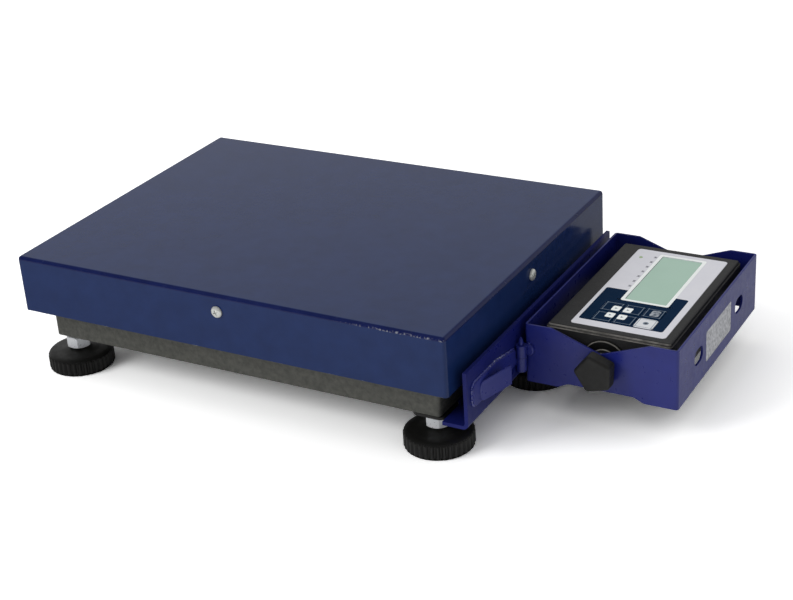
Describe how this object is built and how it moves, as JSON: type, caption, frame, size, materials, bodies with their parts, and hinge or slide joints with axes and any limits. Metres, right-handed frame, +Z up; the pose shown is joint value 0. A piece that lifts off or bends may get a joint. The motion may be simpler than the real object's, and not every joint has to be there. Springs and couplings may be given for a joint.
{
  "type": "platform shipping scale",
  "caption": "Low platform scale with a folded blue steel pan on a single-point load cell, a channel base on levelling feet, and a small tilting indicator in a hinged side bracket.",
  "frame": {"origin": "centre of the whole object's footprint, on the floor under the feet", "axes": "+X from the pan to the indicator, +Y to the back, +Z up"},
  "size_m": [0.5434, 0.3058, 0.109],
  "materials": {
    "blue_paint": "dark blue gloss enamel",
    "grey_paint": "grey hammered enamel",
    "bare_steel": "plain steel",
    "zinc": "bright zinc plate",
    "aluminium": "satin anodised",
    "rubber": "matt",
    "black_plastic": "satin",
    "charcoal_plastic": "fine grain",
    "foil": "satin polyester foil",
    "display": "clear front over a grey-green display",
    "board": "solder mask",
    "white_key": "satin",
    "grey_key": "satin",
    "navy_key": "satin"
  },
  "bodies": {
    "platform": {"base_beam": "grey_paint", "base_frame": "grey_paint", "base_gland": "black_plastic", "cell_bolt_lower_back": "zinc", "cell_bolt_lower_front": "zinc", "cell_bolt_upper_back": "zinc", "cell_bolt_upper_front": "zinc", "cell_spacer_lower": "bare_steel", "cell_spacer_upper": "bare_steel", "hinge_leaf_fixed": "blue_paint", "hinge_pin": "zinc", "load_cell": "aluminium", "overload_stop_back_left": "zinc", "overload_stop_back_right": "zinc", "overload_stop_front_left": "zinc", "overload_stop_front_right": "zinc", "pan": "blue_paint", "pan_pad_back_left": "rubber", "pan_pad_back_right": "rubber", "pan_pad_front_left": "rubber", "pan_pad_front_right": "rubber", "pan_screw_back": "zinc", "pan_screw_front": "zinc", "pan_screw_left": "zinc", "pan_screw_right": "zinc", "side_bracket": "blue_paint", "upper_frame": "bare_steel"},
    "foot_front_left": {"foot_disc_front_left": "black_plastic", "foot_stud_front_left": "zinc"},
    "foot_front_right": {"foot_disc_front_right": "black_plastic", "foot_stud_front_right": "zinc"},
    "foot_back_left": {"foot_disc_back_left": "black_plastic", "foot_stud_back_left": "zinc"},
    "foot_back_right": {"foot_disc_back_right": "black_plastic", "foot_stud_back_right": "zinc"},
    "foot_support": {"foot_disc_support": "black_plastic", "foot_stud_support": "zinc"},
    "indicator_bracket": {"indicator_bracket": "blue_paint", "hinge_leaf_moving": "blue_paint"},
    "knob_front": {"tilt_knob_front": "black_plastic", "knob_stud_front": "zinc"},
    "knob_back": {"tilt_knob_back": "black_plastic", "knob_stud_back": "zinc"},
    "indicator": {"indicator_upper": "charcoal_plastic", "indicator_lower": "charcoal_plastic", "overlay": "foil", "lcd_module": "display", "circuit_board": "board", "battery_pack": "black_plastic", "indicator_gland": "black_plastic", "pivot_disc_front": "black_plastic", "pivot_disc_back": "black_plastic"},
    "key_top_left": {"key_top_left": "grey_key"},
    "key_top_right": {"key_top_right": "white_key"},
    "key_middle_left": {"key_middle_left": "navy_key"},
    "key_middle_right": {"key_middle_right": "navy_key"},
    "key_bottom_left": {"key_bottom_left": "navy_key"},
    "key_bottom_right": {"key_bottom_right": "navy_key"}
  },
  "joints": [
    {"name": "foot_front_left_level", "type": "slide", "parent": "platform", "child": "foot_front_left", "axis": [0, 0, -1], "range_m": [0, 0.012]},
    {"name": "foot_front_right_level", "type": "slide", "parent": "platform", "child": "foot_front_right", "axis": [0, 0, -1], "range_m": [0, 0.012]},
    {"name": "foot_back_left_level", "type": "slide", "parent": "platform", "child": "foot_back_left", "axis": [0, 0, -1], "range_m": [0, 0.012]},
    {"name": "foot_back_right_level", "type": "slide", "parent": "platform", "child": "foot_back_right", "axis": [0, 0, -1], "range_m": [0, 0.012]},
    {"name": "foot_support_level", "type": "slide", "parent": "platform", "child": "foot_support", "axis": [0, 0, -1], "range_m": [0, 0.012]},
    {"name": "bracket_swing", "type": "hinge", "parent": "platform", "child": "indicator_bracket", "pos_m": [0.1457, -0.0535, 0.05], "axis": [0, 0, -1], "range_deg": [0, 60]},
    {"name": "indicator_tilt", "type": "hinge", "parent": "indicator_bracket", "child": "indicator", "pos_m": [0.2092, 0.045, 0.051], "axis": [0, -1, 0], "range_deg": [-20, 60]},
    {"name": "knob_front_turn", "type": "hinge", "parent": "indicator_bracket", "child": "knob_front", "pos_m": [0.2092, 0.045, 0.051], "axis": [0, -1, 0], "range_deg": [0, 180]},
    {"name": "knob_back_turn", "type": "hinge", "parent": "indicator_bracket", "child": "knob_back", "pos_m": [0.2092, 0.045, 0.051], "axis": [0, 1, 0], "range_deg": [0, 180]},
    {"name": "key_top_left_press", "type": "slide", "parent": "indicator", "child": "key_top_left", "axis": [0, 0, -1], "range_m": [0, 0.0008], "stiffness_N_per_m": 400},
    {"name": "key_top_right_press", "type": "slide", "parent": "indicator", "child": "key_top_right", "axis": [0, 0, -1], "range_m": [0, 0.0008], "stiffness_N_per_m": 400},
    {"name": "key_middle_left_press", "type": "slide", "parent": "indicator", "child": "key_middle_left", "axis": [0, 0, -1], "range_m": [0, 0.0008], "stiffness_N_per_m": 400},
    {"name": "key_middle_right_press", "type": "slide", "parent": "indicator", "child": "key_middle_right", "axis": [0, 0, -1], "range_m": [0, 0.0008], "stiffness_N_per_m": 400},
    {"name": "key_bottom_left_press", "type": "slide", "parent": "indicator", "child": "key_bottom_left", "axis": [0, 0, -1], "range_m": [0, 0.0008], "stiffness_N_per_m": 400},
    {"name": "key_bottom_right_press", "type": "slide", "parent": "indicator", "child": "key_bottom_right", "axis": [0, 0, -1], "range_m": [0, 0.0008], "stiffness_N_per_m": 400}
  ]
}
